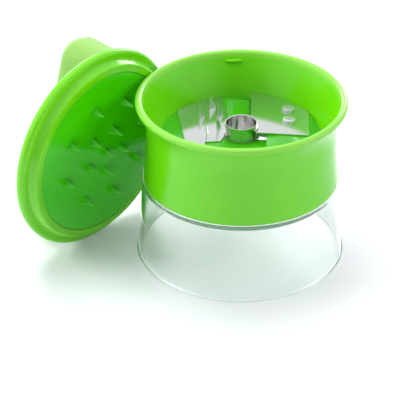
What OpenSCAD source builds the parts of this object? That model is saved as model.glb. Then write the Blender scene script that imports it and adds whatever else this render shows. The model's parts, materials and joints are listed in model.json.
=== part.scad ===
// Hand-held spiralizer: a bowl with blades on a clear sleeve, and its food holder standing beside it.
// Millimetres, +Z up, origin at the centre of the sleeve's foot on the table.

/* [Bowl] */
// Largest outer radius, at the rim
rim_r = 50; // [49:0.5:54]
// Height of the whole body, from the table to the top of the rim
body_h = 82; // [80:0.5:90]
// Radius of the rounded lip
lip_r = 1.8; // [1.4:0.1:2]
// Distance by which the outer wall's inside at the waist stands further out than the deck's collar
waist_gap = 1.2; // [0.6:0.05:1.6]
// Height of the waist, where the outer wall starts to swing out to the lip
waist_h = 65; // [63:0.5:68]
// Distance by which the outer wall stands further out at the seam than at the waist
seam_flare = 1.6; // [1.2:0.1:2.6]
// Height of the seam
seam_h = 40; // [34:0.5:44]
// Thickness of the outer wall
bowl_wall = 2; // [1.6:0.1:2.2]
// Thickness of the funnel's wall
funnel_wall = 2; // [1.6:0.1:2.4]
// Depth of the spigot that stands inside the sleeve
spigot_h = 3.2; // [2:0.1:6]
// Thickness of the spigot's wall
spigot_wall = 1.8; // [1.4:0.1:2.2]
// Width of the two locating ribs inside the rim
rib_w = 7.8; // [5:0.1:10]
// Height of a locating rib
rib_h = 1.5; // [1:0.1:2]
// Distance by which a locating rib stands out from the funnel
rib_out = 1; // [0.5:0.1:1.5]
// Depth of a locating rib's middle below the top of the rim
rib_drop = 4.5; // [4:0.1:6]

/* [Deck] */
// Radius of the deck, at the foot of the funnel
deck_r = 38.4; // [38:0.1:38.8]
// Height of the deck's upper face
deck_top = 61.4; // [60.6:0.1:62]
// Thickness of the deck
deck_h = 4.4; // [3.6:0.1:5.4]
// Thickness of the deck's flange, under the funnel
deck_flange_h = 2; // [1.5:0.1:3]
// Thickness of the collar round the deck
collar_wall = 3.4; // [3.2:0.1:3.6]
// Depth of the ramp in front of the cutting edge
ramp_drop = 0.5; // [0.2:0.1:2]
// Width of the raised pad's ledge beside the slicing blade
pad_ledge = 2.2; // [1:0.1:3]
// Number of deck screws
deck_screw_count = 4; // [3:1:6]

/* [Blades] */
// Thickness of the slicing blade
blade_t = 0.8; // [0.5:0.1:1.2]
// Step from the tooth plate up to the slicing blade, which is the slice's thickness
slice_t = 2; // [1.4:0.1:3]
// Room between both plates and the funnel
plate_gap = 0.5; // [0.4:0.1:1.4]
// Distance of the cutting edge from the core tube's axis
edge_x = 4.5; // [4:0.1:6]
// Width of the bevel under the cutting edge
bevel_w = 3; // [2:0.1:4]
// Distance of the slicing blade's straight right edge from the axis
blade_right_x = 32.2; // [30:0.1:33]
// Distance of the slicing blade's front edge in front of the axis
blade_front_y = 3.6; // [3:0.1:5]
// Angle by which the slicing blade falls away from its cutting edge
blade_roll = 2.8; // [0:0.1:4]
// Angle by which the slicing blade falls away from its front edge
blade_pitch = 2; // [0:0.1:3]
// Thickness of the tooth plate
tooth_plate_t = 0.6; // [0.4:0.1:1]
// Height of the teeth above their plate
tooth_h = 6.5; // [4:0.1:7]
// Width of a tooth at its foot
tooth_w = 4; // [2.5:0.1:4.5]
// Angle by which the teeth lean out from the core tube
tooth_tilt = 10; // [0:1:15]
// Radius of the innermost tooth
tooth_first_r = 11.6; // [10.5:0.1:12]
// Step in radius from tooth to tooth
tooth_pitch = 4.3; // [3:0.1:4.4]

/* [Core tube] */
// Outer radius of the tube
tube_r = 7.6; // [7:0.1:8]
// Thickness of the tube's wall
tube_wall = 0.6; // [0.4:0.1:1]
// Height of the tube's mouth above the table
tube_top = 68.7; // [66:0.1:70]
// Length of the tube below the deck
tube_drop = 6; // [3:0.5:11]
// Radius of the rolled collar under the deck
tube_collar_r = 9.4; // [8.8:0.1:10]
// Thickness of the rolled collar
tube_collar_h = 0.8; // [0.5:0.1:1.4]

/* [Clear sleeve] */
// Thickness of the sleeve's wall
sleeve_wall = 2; // [1.6:0.1:2.4]
// Width of the step where the sleeve stands proud of the bowl
sleeve_step = 0.3; // [0.1:0.05:0.6]
// Width by which the foot bead stands out from the sleeve
foot_bead = 0.7; // [0.4:0.1:1.2]
// Height of the foot bead
foot_h = 1.2; // [0.8:0.1:2]

/* [Food holder] */
// Radius of the holder's flange
flange_r = 50.3; // [49.5:0.1:52]
// Thickness of the flange, whose edge is fully round
flange_t = 5; // [4:0.1:6]
// Radius of the plug at the flange
plug_root_r = 46.2; // [45.6:0.1:46.4]
// Radius of the plug at its face
plug_r = 44.6; // [44:0.1:45.2]
// Height of the plug above the flange
plug_h = 4; // [3:0.1:6]
// Radius of the rounded edge of the plug
plug_edge_r = 1.2; // [0.6:0.1:1.6]
// Radius of the spike disc
disc_r = 40.8; // [39:0.1:41.5]
// Thickness of the spike disc
disc_t = 2.4; // [1.8:0.1:3]
// Thickness of the web behind the spike disc
web_t = 2.5; // [1.8:0.1:3]
// Thickness of the disc's standing ring
disc_leg_t = 2; // [1.5:0.1:3]
// Height of the spikes
spike_h = 6.5; // [4:0.1:8]
// Radius of a spike's four-sided foot
spike_r = 2.9; // [2:0.1:3.2]
// Radius of the inner ring of spikes
spike_inner_r = 11.2; // [9:0.1:13]
// Number of spikes in the inner ring
spike_inner_count = 5; // [3:1:7]
// Radius of the outer ring of spikes
spike_outer_r = 25.7; // [22:0.1:28]
// Number of spikes in the outer ring
spike_outer_count = 8; // [6:1:12]

/* [Grip] */
// Half length of the grip bar
grip_half_l = 49; // [46:0.5:49]
// Half thickness of the grip bar
grip_half_w = 11.9; // [10.5:0.1:13]
// Height of the grip bar behind the flange
grip_h = 21.4; // [18:0.1:26]
// Corner radius of the grip bar, seen along the holder's axis
grip_corner_r = 10.2; // [8:0.1:11]
// Radius of the grip bar's back edge
grip_edge_r = 6; // [3:0.1:7]
// Thickness of the soft cover over the grip's core
cover_t = 2.5; // [1.5:0.1:3]
// Thickness of the core's walls
core_wall = 2.2; // [1.6:0.1:3]
// Distance of the grip screws from the holder's axis
grip_screw_pitch = 29; // [24:0.5:33]

/* [Where the holder stands] */
// Direction in which the holder's spikes point, seen from above
holder_azimuth = -41.1; // [-60:0.1:-20]
// Angle by which the holder leans towards the bowl
holder_lean = 3.4; // [0:0.1:6]
// Distance of the holder's axis to the side of the bowl's axis
holder_side = 40.6; // [36:0.1:46]
// Room left between the plug's face and the rim
holder_rim_gap = 0.4; // [0.3:0.1:3]

/* [Fasteners and fits] */
// Head radius of the blade screws
blade_screw_head_r = 3; // [2.4:0.1:3.4]
// Head height of the blade screws
blade_screw_head_h = 1.3; // [1:0.1:2.4]
// Shank radius of the blade screws
blade_screw_r = 1.4; // [1:0.05:1.7]
// Length of the blade screws under the head
blade_screw_l = 5; // [3.5:0.1:5.4]
// Head radius of the deck screws
deck_screw_head_r = 1.9; // [1.6:0.05:2]
// Head height of the deck screws
deck_screw_head_h = 1.2; // [0.8:0.1:1.6]
// Shank radius of the deck screws
deck_screw_r = 0.9; // [0.7:0.05:1]
// Length of the deck screws under the head
deck_screw_l = 5.5; // [4:0.1:6]
// Head radius of the grip screws
grip_screw_head_r = 3; // [2.4:0.1:3.4]
// Head height of the grip screws
grip_screw_head_h = 2; // [1.4:0.1:2.4]
// Shank radius of the grip screws
grip_screw_r = 1.5; // [1.2:0.05:1.8]
// Length of the grip screws under the head
grip_screw_l = 12; // [8:0.5:15]
// Head radius of the middle screw
pivot_head_r = 4; // [3:0.1:5]
// Shank radius of the middle screw
pivot_r = 2; // [1.6:0.05:2.4]
// Length of the middle screw under the head
pivot_l = 14; // [10:0.5:15]
// Radial room round a shank or in a close fit
fit_gap = 0.05; // [0.02:0.01:0.1]
// Room round the spike disc
disc_gap = 0.2; // [0.1:0.05:0.4]
// Room between a plate and the core tube
tube_gap = 0.3; // [0.2:0.05:0.6]

/* [Hidden] */
$fn = 96;

green = [0.36, 0.76, 0.12];
dark_green = [0.26, 0.62, 0.1];
steel = [0.78, 0.8, 0.8];
clear = [0.85, 0.93, 0.88, 0.35];
// A cut runs this far past the face that it opens
over = 0.5;

// Radii that follow from the deck's
waist_r = deck_r + collar_wall + bowl_wall + waist_gap;
seam_r = waist_r + seam_flare;
deck_screw_pitch_r = deck_r + collar_wall / 2;
plate_r = deck_r - plate_gap;

// Heights in the bowl
lip_z = body_h - lip_r;
deck_bottom = deck_top - deck_h;
tube_foot = deck_bottom - tube_drop;
collar_h = 5;
blade_top = deck_top + tooth_plate_t + slice_t;
blade_bottom = blade_top - blade_t;

// The flare is an arc: it leaves the waist upright and runs this far into the lip, which it grazes
lip_lap = 0.1;
lip_mid = [rim_r - lip_r, lip_z];
flare_rise = lip_z - waist_h;
flare_out = lip_mid[0] - waist_r;
graze_r = lip_r - lip_lap;
flare_r = (pow(flare_rise, 2) + pow(flare_out, 2) - pow(graze_r, 2)) / (2 * (flare_out + graze_r));
flare_angle = asin(flare_rise / (flare_r + graze_r));
flare_steps = 12;
function flare_point(a) = [waist_r + flare_r * (1 - cos(a)), waist_h + flare_r * sin(a)];
flare_points = [for (i = [0:flare_steps]) flare_point(flare_angle * i / flare_steps)];
outer_points = concat([[seam_r, seam_h]], flare_points);
inner_points = [for (i = [len(outer_points) - 1:-1:0]) outer_points[i] - [bowl_wall, 0]];

// The funnel's inside, from the deck up to the lip
function funnel_r(z) = deck_r + (rim_r - 2 * lip_r - deck_r) * (z - deck_top) / (lip_z - deck_top);
rib_z = body_h - rib_drop;
rib_angle = 95;
rib_count = 2;

// The sleeve's inside at the seam, where the spigot stands
sleeve_top_r = seam_r + sleeve_step;
spigot_r = sleeve_top_r - sleeve_wall - fit_gap;
// The spigot runs this far up inside the bowl's wall
spigot_root_h = 3;
// The sleeve's foot is as wide as the rim
foot_r = rim_r;
sleeve_foot_r = foot_r - foot_bead;

// Plan of the blades and their screws, measured from the core tube's axis
collar_room = 0.6;
slot_rim = 2;
deck_boss_r = tube_collar_r + collar_room;
slot_left_x = -7.4;
slot_floor_x = 3.9;
slot_right_x = 14;
slot_r = deck_r - slot_rim;
pad_right_x = blade_right_x + pad_ledge;
window_x = [tube_r / 2, deck_boss_r + slot_rim];
window_y = [-3.9, 5];
blade_middle = [18.7, 17];
// The pad is level in front of the slicing blade, at the height of the blade's front edge
pad_top = blade_bottom + (blade_middle[1] + blade_front_y) * sin(blade_pitch);
blade_screws = [[22.5, 21.4], [22.7, 10]];
tooth_plate_screws_at = [[-21.6, -13], [-20.4, -22.5]];
tooth_plate_left = [[-31, 38], [-31, 22.7], [-22, -34]];
tooth_plate_right = [[-17, -34], [-17, -7.3], [-9.5, -6.2], [-tube_r, -0.6], [-6.9, 21.4], [-9.4, 37]];
// Height of the land that is left at the cutting edge
edge_land = blade_t / 8;
tooth_count = 5;
// The tip of a tooth stands this far to one side of its middle
tooth_lean = tooth_w / 6;
// Each tooth's angle round the core tube; neighbours are staggered, so that strips pass between them
tooth_angles = [154, 176, 121, 140, 119];

// Heights in the holder, measured from the middle of the flange along the holder's axis
flange_edge_r = flange_t / 2;
web_back = -flange_edge_r;
web_face = web_back + web_t;
plug_face = flange_edge_r + plug_h;
recess_r = disc_r + disc_gap;
disc_leg_inset = 3;
disc_leg_r = disc_r - disc_leg_inset;
spike_turn = 60;
grip_turn = -13.7;
grip_back = web_back - grip_h;
core_back = grip_back + cover_t;
core_half_w = grip_half_w - cover_t;
core_half_l = grip_half_l - cover_t;
boss_wall = 2;

// Where the holder stands on the table
holder_z = (flange_r - flange_edge_r) * cos(holder_lean) + flange_edge_r;
// The rim meets the plug's face this far up the leaning face, at a chord of the face's round edge
rim_rise = max(0, lip_z - holder_z) / cos(holder_lean);
face_chord = sqrt(max(0, pow(plug_r - plug_edge_r, 2) - pow(rim_rise, 2)));
side_room = min(rim_r / 2, max(0, holder_side - face_chord));
rim_reach = sqrt(pow(rim_r + holder_rim_gap, 2) - pow(side_room, 2));
holder_reach = rim_reach + plug_face + rim_rise * sin(holder_lean);
holder_x = -holder_reach * cos(holder_azimuth) + holder_side * sin(holder_azimuth);
holder_y = -holder_reach * sin(holder_azimuth) - holder_side * cos(holder_azimuth);

// Places its children in the holder's own frame: +Z along the spikes, +Y up the leaning face
module at_holder() {
    translate([holder_x, holder_y, holder_z])
        rotate([0, holder_lean, holder_azimuth])
            rotate([90, 0, 90])
                children();
}

// Pan-head screw standing on z = 0, with its shank along -Z
module pan_screw(head_r, head_h, shank_r, shank_l) {
    side_share = 0.45;
    side_h = head_h * side_share;
    crown_steps = 6;
    crown = [for (i = [0:crown_steps])
        [head_r * cos(90 * i / crown_steps), side_h + (head_h - side_h) * sin(90 * i / crown_steps)]];
    rotate_extrude()
        polygon(concat([[0, -shank_l], [shank_r, -shank_l], [shank_r, 0], [head_r, 0]], crown));
}

// Slot with round ends along Y
module stadium(half_w, half_l) {
    square([2 * half_w, 2 * (half_l - half_w)], center = true);
    for (side = [-1, 1])
        translate([0, side * (half_l - half_w)])
            circle(half_w);
}

module deck_screw_places() {
    first_angle = 45;
    for (i = [0:deck_screw_count - 1])
        rotate(first_angle + 360 * i / deck_screw_count)
            translate([deck_screw_pitch_r, 0])
                children();
}

module grip_screw_places() {
    for (side = [-1, 1])
        rotate(grip_turn)
            translate([0, side * grip_screw_pitch])
                children();
}

// Bowl: outer wall, rounded lip and funnel in one moulding, with a spigot for the sleeve
module bowl_section() {
    polygon(concat(outer_points, [lip_mid], inner_points));
    translate(lip_mid)
        circle(lip_r);
    polygon([
        [rim_r - 2 * lip_r, lip_z], [deck_r, deck_top], [deck_r, deck_bottom],
        [deck_r + collar_wall, deck_bottom], [deck_r + collar_wall, deck_bottom + collar_h],
        [rim_r - 2 * lip_r + funnel_wall, lip_z]
    ]);
    polygon([
        [spigot_r, seam_h - spigot_h], [spigot_r, seam_h], [seam_r - bowl_wall / 2, seam_h],
        [seam_r - bowl_wall / 2, seam_h + spigot_root_h], [spigot_r - spigot_wall, seam_h],
        [spigot_r - spigot_wall, seam_h - spigot_h]
    ]);
}

// Locating ribs, rooted in the funnel's wall
module rim_ribs() {
    rib_root = funnel_wall / 2;
    for (i = [0:rib_count - 1])
        rotate(rib_angle + 360 * i / rib_count)
            translate([funnel_r(rib_z) - rib_out, -rib_w / 2, rib_z - rib_h / 2])
                cube([rib_out + rib_root, rib_w, rib_h]);
}

module bowl() {
    color(green)
        difference() {
            union() {
                rotate_extrude()
                    bowl_section();
                rim_ribs();
            }
            deck_screw_places()
                translate([0, 0, deck_bottom - over])
                    cylinder(r = deck_screw_r + fit_gap, h = deck_screw_l - deck_flange_h + 2 * over);
        }
}

// Deck: the funnel's floor, with a raised pad for the slicing blade and a ramp down into the slot
module blade_deck() {
    color(green)
        difference() {
            union() {
                translate([0, 0, deck_bottom])
                    cylinder(r = deck_r - fit_gap, h = deck_h);
                translate([0, 0, deck_bottom - deck_flange_h])
                    cylinder(r = deck_r + collar_wall, h = deck_flange_h);
                intersection() {
                    translate([window_x[1], -deck_r, deck_top - over])
                        cube([pad_right_x - window_x[1], 2 * deck_r, pad_top - deck_top + over]);
                    translate([0, 0, deck_top - over])
                        cylinder(r = plate_r, h = pad_top - deck_top + over);
                    at_blade()
                        translate([-deck_r, -deck_r, -deck_r])
                            cube([2 * deck_r, 2 * deck_r, deck_r]);
                }
            }
            translate([0, 0, deck_bottom - deck_flange_h - over])
                cylinder(r = slot_r, h = deck_flange_h + over);
            translate([0, 0, deck_bottom - over])
                cylinder(r = tube_r + fit_gap, h = deck_h + 2 * over);
            slicing_slot();
            tube_window();
            deck_screw_places()
                translate([0, 0, deck_bottom - deck_flange_h - over])
                    cylinder(r = deck_screw_r + fit_gap, h = deck_flange_h + 2 * over);
            at_blade()
                for (p = blade_screws)
                    translate(concat(p - blade_middle, blade_t - blade_screw_l - over))
                        cylinder(r = blade_screw_r + fit_gap, h = blade_screw_l + 2 * over);
            for (p = tooth_plate_screws_at)
                translate([p[0], p[1], deck_bottom - over])
                    cylinder(r = blade_screw_r + fit_gap, h = deck_h + 2 * over);
        }
}

// Window beside the core tube, open under the front of the slicing blade
module tube_window() {
    translate([window_x[0], window_y[0], deck_bottom - over])
        cube([window_x[1] - window_x[0], window_y[1] - window_y[0], deck_h + 2 * over]);
}

// Slot behind the core tube: a shallow ramp up to the cutting edge, then an opening for the strips
module slicing_slot() {
    difference() {
        intersection() {
            translate([0, 2 * deck_r, 0])
                rotate([90, 0, 0])
                    linear_extrude(2 * deck_r)
                        polygon([
                            [slot_left_x, pad_top + over], [slot_left_x, deck_top],
                            [slot_floor_x, deck_top - ramp_drop], [slot_floor_x, deck_bottom - over],
                            [slot_right_x, deck_bottom - over], [slot_right_x, pad_top + over]
                        ]);
            translate([0, 0, deck_bottom - 2 * over])
                cylinder(r = slot_r, h = pad_top - deck_bottom + 4 * over);
        }
        translate([0, 0, deck_bottom - 3 * over])
            cylinder(r = deck_boss_r, h = pad_top - deck_bottom + 6 * over);
    }
}

module deck_screws() {
    color(steel)
        deck_screw_places()
            translate([0, 0, deck_bottom - deck_flange_h])
                rotate([180, 0, 0])
                    pan_screw(deck_screw_head_r, deck_screw_head_h, deck_screw_r, deck_screw_l);
}

// Places its children on the tilted underside of the slicing blade, at its middle
module at_blade() {
    translate([blade_middle[0], blade_middle[1], blade_bottom])
        rotate([-blade_pitch, blade_roll, 0])
            children();
}

// Slicing blade: a tilted plate round the core tube, bevelled underneath along its left edge
module slicing_blade() {
    color(steel)
        at_blade()
            translate([-blade_middle[0], -blade_middle[1], 0])
                difference() {
                    linear_extrude(blade_t)
                        difference() {
                            intersection() {
                                circle(plate_r);
                                translate([edge_x, -blade_front_y])
                                    square([blade_right_x - edge_x, 2 * plate_r]);
                            }
                            circle(tube_r + tube_gap);
                            for (p = blade_screws)
                                translate(p)
                                    circle(blade_screw_r + fit_gap);
                        }
                    translate([0, 2 * plate_r, 0])
                        rotate([90, 0, 0])
                            linear_extrude(2 * plate_r)
                                polygon([
                                    [edge_x, blade_t - edge_land], [edge_x + bevel_w, 0],
                                    [edge_x + bevel_w, -over], [edge_x - over, -over],
                                    [edge_x - over, blade_t - edge_land]
                                ]);
                }
}

module slicing_blade_screws() {
    color(steel)
        at_blade()
            for (p = blade_screws)
                translate([p[0] - blade_middle[0], p[1] - blade_middle[1], blade_t])
                    pan_screw(blade_screw_head_r, blade_screw_head_h, blade_screw_r, blade_screw_l);
}

// One tooth: a thin pointed blade along its own circle, rooted in the middle of the plate's thickness
module tooth(r, angle) {
    root_h = tooth_plate_t / 2;
    rotate(angle)
        translate([r, 0, deck_top + root_h])
            rotate([0, tooth_tilt, 0])
                translate([tooth_plate_t / 2, 0, 0])
                    rotate([90, 0, -90])
                        linear_extrude(tooth_plate_t)
                            polygon([
                                [-tooth_w / 2, 0], [tooth_w / 2, 0], [tooth_w / 2, root_h],
                                [-tooth_lean, root_h + tooth_h], [-tooth_w / 2, root_h]
                            ]);
}

module tooth_plate() {
    color(steel) {
        translate([0, 0, deck_top])
            linear_extrude(tooth_plate_t)
                difference() {
                    intersection() {
                        circle(plate_r);
                        polygon(concat(tooth_plate_left, tooth_plate_right));
                    }
                    circle(tube_r + tube_gap);
                    for (p = tooth_plate_screws_at)
                        translate(p)
                            circle(blade_screw_r + fit_gap);
                }
        for (i = [0:tooth_count - 1])
            tooth(tooth_first_r + i * tooth_pitch, tooth_angles[i]);
    }
}

module tooth_plate_screws() {
    color(steel)
        for (p = tooth_plate_screws_at)
            translate([p[0], p[1], deck_top + tooth_plate_t])
                pan_screw(blade_screw_head_r, blade_screw_head_h, blade_screw_r, deck_h);
}

// Core tube: chamfered inside its mouth, with a rolled collar under the deck
module core_tube() {
    inner_r = tube_r - tube_wall;
    color(steel)
        rotate_extrude()
            polygon([
                [inner_r, tube_foot], [tube_r, tube_foot], [tube_r, deck_bottom - tube_collar_h],
                [tube_collar_r, deck_bottom - tube_collar_h], [tube_collar_r, deck_bottom],
                [tube_r, deck_bottom], [tube_r, tube_top], [tube_r - tube_wall / 2, tube_top],
                [inner_r, tube_top - tube_wall / 2]
            ]);
}

// Clear sleeve: open at both ends, so that the strips fall through it
module clear_sleeve() {
    foot_in = sleeve_foot_r - sleeve_wall;
    color(clear)
        rotate_extrude()
            polygon([
                [foot_in, 0], [foot_r, 0], [foot_r, foot_h], [sleeve_foot_r, foot_h + foot_bead],
                [sleeve_top_r, seam_h], [sleeve_top_r - sleeve_wall, seam_h],
                [sleeve_top_r - sleeve_wall, seam_h - spigot_h - over],
                [foot_in, foot_h + foot_bead]
            ]);
}

// Holder cap: a round-edged flange with a plug that fits the bowl's mouth, recessed for the disc
module holder_cap() {
    color(green)
        at_holder()
            difference() {
                rotate_extrude()
                    union() {
                        translate([0, -flange_edge_r])
                            square([flange_r - flange_edge_r, flange_t]);
                        translate([flange_r - flange_edge_r, 0])
                            circle(flange_edge_r);
                        polygon([
                            [0, 0], [plug_root_r, 0], [plug_root_r, flange_edge_r],
                            [plug_r, plug_face - plug_edge_r],
                            [plug_r - plug_edge_r, plug_face - plug_edge_r],
                            [plug_r - plug_edge_r, plug_face], [0, plug_face]
                        ]);
                        translate([plug_r - plug_edge_r, plug_face - plug_edge_r])
                            circle(plug_edge_r);
                    }
                translate([0, 0, web_face])
                    cylinder(r = recess_r, h = plug_face - web_face + over);
                translate([0, 0, web_back - over])
                    cylinder(r = pivot_r + fit_gap, h = web_t + 2 * over);
                grip_screw_places()
                    translate([0, 0, web_back - over])
                        cylinder(r = grip_screw_r + fit_gap, h = web_t + 2 * over);
            }
}

// Spike disc: flush with the plug's face, on a standing ring, with four-sided spikes
module spike_disc() {
    color(dark_green)
        at_holder() {
            translate([0, 0, plug_face - disc_t])
                cylinder(r = disc_r, h = disc_t);
            translate([0, 0, web_face])
                rotate_extrude()
                    translate([disc_leg_r - disc_leg_t, 0])
                        square([disc_leg_t, plug_face - web_face - disc_t / 2]);
            spike(0, 0);
            for (i = [0:spike_inner_count - 1])
                spike(spike_inner_r, spike_turn + 360 * i / spike_inner_count);
            for (i = [0:spike_outer_count - 1])
                spike(spike_outer_r, spike_turn + 360 * i / spike_outer_count);
        }
}

module spike(r, angle) {
    sunk_share = 0.25;
    sunk = disc_t * sunk_share;
    rotate(angle)
        translate([r, 0, plug_face - sunk])
            rotate(-angle)
                cylinder(r1 = spike_r, r2 = 0, h = spike_h + sunk, $fn = 4);
}

// Grip core: a hollow bar behind the flange, with a boss for each screw
module grip_core() {
    pivot_boss_r = pivot_r + fit_gap + boss_wall;
    screw_boss_r = grip_screw_r + fit_gap + boss_wall;
    hollow_h = web_back - core_back - core_wall;
    color(dark_green)
        at_holder()
            difference() {
                rotate(grip_turn)
                    translate([0, 0, core_back])
                        linear_extrude(web_back - core_back)
                            stadium(core_half_w, core_half_l);
                difference() {
                    rotate(grip_turn)
                        translate([0, 0, web_back - hollow_h])
                            linear_extrude(hollow_h + over)
                                stadium(core_half_w - core_wall, core_half_l - core_wall);
                    translate([0, 0, core_back])
                        cylinder(r = pivot_boss_r, h = web_back - core_back);
                    grip_screw_places()
                        translate([0, 0, core_back])
                            cylinder(r = screw_boss_r, h = web_back - core_back);
                }
                translate([0, 0, web_face - pivot_l - over])
                    cylinder(r = pivot_r + fit_gap, h = pivot_l);
                grip_screw_places()
                    translate([0, 0, web_face - grip_screw_l - over])
                        cylinder(r = grip_screw_r + fit_gap, h = grip_screw_l);
            }
}

// Grip cover: the soft skin over the core, rounded at its back
module grip_cover() {
    hull_fn = 32;
    corner_x = grip_half_w - grip_corner_r;
    corner_y = grip_half_l - grip_corner_r;
    color(green)
        at_holder()
            rotate(grip_turn)
                difference() {
                    hull()
                        for (x = [-corner_x, corner_x], y = [-corner_y, corner_y])
                            translate([x, y, 0]) {
                                translate([0, 0, web_back - over])
                                    cylinder(r = grip_corner_r, h = over, $fn = hull_fn);
                                translate([0, 0, grip_back + grip_edge_r])
                                    rotate_extrude($fn = hull_fn)
                                        intersection() {
                                            translate([grip_corner_r - grip_edge_r, 0])
                                                circle(grip_edge_r, $fn = hull_fn);
                                            translate([0, -grip_edge_r])
                                                square([grip_corner_r, 2 * grip_edge_r]);
                                        }
                            }
                    translate([0, 0, core_back - fit_gap])
                        linear_extrude(web_back - core_back + fit_gap + over)
                            stadium(core_half_w + fit_gap, core_half_l + fit_gap);
                }
}

module grip_screws() {
    color(steel)
        at_holder()
            grip_screw_places()
                translate([0, 0, web_face])
                    pan_screw(grip_screw_head_r, grip_screw_head_h, grip_screw_r, grip_screw_l);
}

// Middle screw on the holder's axis, which stays still while the holder turns round it
module holder_pivot_screw() {
    color(steel)
        at_holder()
            translate([0, 0, web_face + fit_gap])
                pan_screw(pivot_head_r, grip_screw_head_h, pivot_r, pivot_l);
}

bowl();
blade_deck();
deck_screws();
slicing_blade();
slicing_blade_screws();
tooth_plate();
tooth_plate_screws();
core_tube();
clear_sleeve();
holder_cap();
spike_disc();
grip_core();
grip_cover();
grip_screws();
holder_pivot_screw();
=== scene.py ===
"""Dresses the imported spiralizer: its meshes, finishes, studio and camera, in the part's own frame."""

import json
import logging
import math
from dataclasses import dataclass
from enum import Enum

import bmesh
import bpy
from bmesh.types import BMesh
from bpy.types import Material, Mesh, Node, NodeSocket, NodeTree, Object
from mathutils import Matrix, Vector


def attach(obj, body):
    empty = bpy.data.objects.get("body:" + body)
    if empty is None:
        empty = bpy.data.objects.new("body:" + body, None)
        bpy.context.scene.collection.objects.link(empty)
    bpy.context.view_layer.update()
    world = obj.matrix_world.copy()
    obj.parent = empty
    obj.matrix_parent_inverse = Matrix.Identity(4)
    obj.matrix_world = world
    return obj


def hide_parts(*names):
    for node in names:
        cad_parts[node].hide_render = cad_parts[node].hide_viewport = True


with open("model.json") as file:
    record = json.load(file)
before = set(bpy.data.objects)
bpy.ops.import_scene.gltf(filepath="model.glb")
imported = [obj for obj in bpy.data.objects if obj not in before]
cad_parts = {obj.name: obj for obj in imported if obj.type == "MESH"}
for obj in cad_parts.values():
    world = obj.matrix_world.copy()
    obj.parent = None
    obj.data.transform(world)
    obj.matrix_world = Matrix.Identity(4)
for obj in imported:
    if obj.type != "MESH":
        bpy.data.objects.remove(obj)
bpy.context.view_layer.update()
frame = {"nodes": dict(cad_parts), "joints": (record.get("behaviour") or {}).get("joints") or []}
LOG = logging.getLogger("spiralizer")

# One millimetre in the frame's metres, and the distance under which two points are one.
MM = 0.001
WELD = 2e-6
# Steps round a turned piece.
SEGMENTS = 192
# Heights that neighbouring pieces share, in millimetres.
SEAM_H = 40.0
DECK_TOP = 61.4
DECK_BOTTOM = 57.0
# The largest share of a side that the round at its end may take.
ROUND_SHARE = 0.48
# A side gets a supporting step if it is longer than this many times the round and the step.
SUPPORT_ROOM = 2.2
# Angles in degrees above which an edge stays sharp: as a rule, on thin sheet, on points and on soft shapes.
CREASE = 32.0
SHEET_CREASE = 8.0
POINT_CREASE = 25.0
SOFT_CREASE = 40.0

# A point of an outline, a corner with the radius of its round, and a place in the frame.
Point = tuple[float, float]
Corner = tuple[float, float, float]
Place = tuple[float, float, float]


class Body(Enum):
    """The part's moving bodies."""

    SPIRALIZER = "spiralizer"
    PIVOT = "holder_pivot"
    HOLDER = "food_holder"


class Slot(Enum):
    """The record's material slots."""

    BOWL = "bowl_green"
    DECK = "deck_green"
    HOLDER = "holder_green"
    SPIKES = "spike_green"
    GRIP = "grip_green"
    CORE = "core_plastic"
    CLEAR = "clear_plastic"
    BLADE = "blade_steel"
    TUBE = "tube_steel"
    SCREW = "screw_steel"


class Light(Enum):
    """What a lamp does: a soft box lights the matt colour, a gloss card only shows in the gloss."""

    SOFT_BOX = "soft box"
    GLOSS_CARD = "gloss card"


def linear(code: str) -> tuple[float, float, float, float]:
    """Turns an sRGB hex colour into linear light.

    Args:
        code: The colour as "#rrggbb".

    Returns:
        Red, green, blue and an alpha of 1.
    """
    shares = [int(code[i:i + 2], 16) / 255 for i in (1, 3, 5)]
    light = [s / 12.92 if s <= 0.04045 else ((s + 0.055) / 1.055) ** 2.4 for s in shares]
    return (light[0], light[1], light[2], 1.0)


def per_mm(size: float) -> float:
    """Gives the texture scale whose marks are this many millimetres across."""
    return 1.0 / (size * MM)


class Graph:
    """A node tree that is built by adding nodes in order."""

    def __init__(self, tree: NodeTree) -> None:
        """Takes a tree over.

        Args:
            tree: The tree that gets the nodes.
        """
        self.tree = tree

    def feed(self, node: Node, inputs: dict) -> None:
        """Gives a node its values and links.

        Args:
            node: The node.
            inputs: A value or an output socket for each input, by the input's name or number.
        """
        for key, value in inputs.items():
            if isinstance(value, NodeSocket):
                self.tree.links.new(value, node.inputs[key])
            else:
                node.inputs[key].default_value = value

    def add(self, kind: str, inputs: dict | None = None, **settings: object) -> Node:
        """Adds a node with its settings, values and links.

        Args:
            kind: The node's type name.
            inputs: What it is fed with.
            settings: The node's own properties.

        Returns:
            The new node.
        """
        node = self.tree.nodes.new(kind)
        for key, value in settings.items():
            setattr(node, key, value)
        self.feed(node, inputs or {})
        return node

    def first(self, kind: str, inputs: dict | None = None, **settings: object) -> NodeSocket:
        """Adds a node and gives its first result."""
        return self.add(kind, inputs, **settings).outputs[0]

    def math(self, operation: str, *values: object) -> NodeSocket:
        """Adds a sum of values and sockets and gives its result."""
        return self.first("ShaderNodeMath", dict(enumerate(values)), operation=operation)

    def ramp(
        self,
        value: NodeSocket,
        low: float = 0.0,
        high: float = 1.0,
        start: float = 0.0,
        stop: float = 1.0,
        **settings: object,
    ) -> NodeSocket:
        """Goes over from a low level to a high one while a value goes from start to stop."""
        inputs = {"Value": value, "From Min": start, "From Max": stop, "To Min": low, "To Max": high}
        return self.first("ShaderNodeMapRange", inputs, **settings)


# Finishes


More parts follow.
